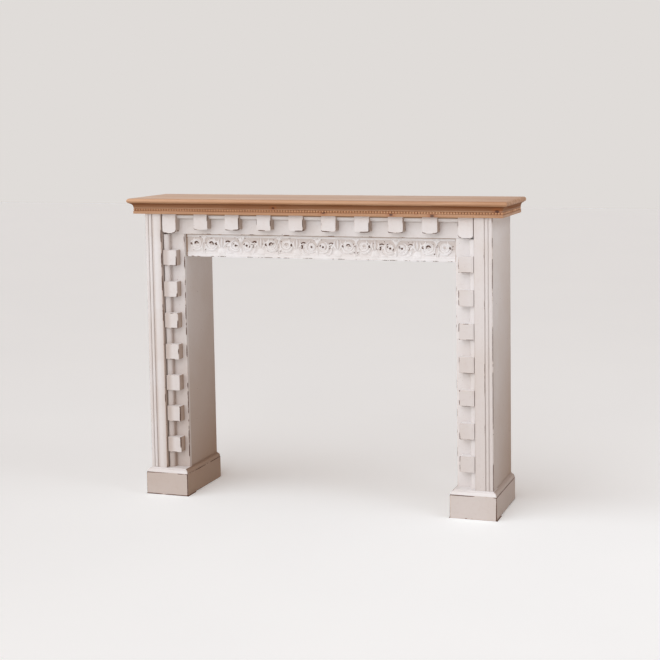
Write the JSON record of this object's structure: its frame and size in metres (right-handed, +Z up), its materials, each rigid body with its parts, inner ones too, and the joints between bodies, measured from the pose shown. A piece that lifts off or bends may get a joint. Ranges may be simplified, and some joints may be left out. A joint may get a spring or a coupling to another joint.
{
  "type": "fireplace mantelpiece",
  "caption": "Freestanding fireplace mantelpiece: white distressed wooden surround with dentilled mouldings, a carved frieze, plinths and a waxed pine shelf.",
  "frame": {"origin": "centre of the bounding box at floor level, midway between the two legs and halfway from the front of the shelf to the back", "axes": "+X to the viewer's right along the shelf, -Y out of the front towards the room, +Y into the wall, +Z up"},
  "size_m": [1.322, 0.278, 1.02],
  "materials": {
    "distressed_white_paint": "matte white paint over softwood and fibreboard, rubbed through to brown on the edges",
    "waxed_pine": "waxed knotty pine, satin"
  },
  "bodies": {
    "root": {"cornice_front": "waxed_pine", "cornice_return_left": "waxed_pine", "cornice_return_right": "waxed_pine", "frieze_panel": "distressed_white_paint", "left_dentil_block_1": "distressed_white_paint", "left_dentil_block_2": "distressed_white_paint", "left_dentil_block_3": "distressed_white_paint", "left_dentil_block_4": "distressed_white_paint", "left_dentil_block_5": "distressed_white_paint", "left_dentil_block_6": "distressed_white_paint", "left_dentil_block_7": "distressed_white_paint", "left_dentil_moulding": "distressed_white_paint", "left_leg_inner_side": "distressed_white_paint", "left_leg_outer_side": "distressed_white_paint", "left_leg_stile": "distressed_white_paint", "left_plinth_front": "distressed_white_paint", "left_plinth_inner": "distressed_white_paint", "left_plinth_outer": "distressed_white_paint", "left_reeded_strip": "distressed_white_paint", "mantel_shelf": "waxed_pine", "right_dentil_block_1": "distressed_white_paint", "right_dentil_block_2": "distressed_white_paint", "right_dentil_block_3": "distressed_white_paint", "right_dentil_block_4": "distressed_white_paint", "right_dentil_block_5": "distressed_white_paint", "right_dentil_block_6": "distressed_white_paint", "right_dentil_block_7": "distressed_white_paint", "right_dentil_moulding": "distressed_white_paint", "right_leg_inner_side": "distressed_white_paint", "right_leg_outer_side": "distressed_white_paint", "right_leg_stile": "distressed_white_paint", "right_plinth_front": "distressed_white_paint", "right_plinth_inner": "distressed_white_paint", "right_plinth_outer": "distressed_white_paint", "right_reeded_strip": "distressed_white_paint", "top_dentil_block_01": "distressed_white_paint", "top_dentil_block_02": "distressed_white_paint", "top_dentil_block_03": "distressed_white_paint", "top_dentil_block_04": "distressed_white_paint", "top_dentil_block_05": "distressed_white_paint", "top_dentil_block_06": "distressed_white_paint", "top_dentil_block_07": "distressed_white_paint", "top_dentil_block_08": "distressed_white_paint", "top_dentil_block_09": "distressed_white_paint", "top_dentil_block_10": "distressed_white_paint", "top_dentil_moulding": "distressed_white_paint"}
  },
  "joints": []
}
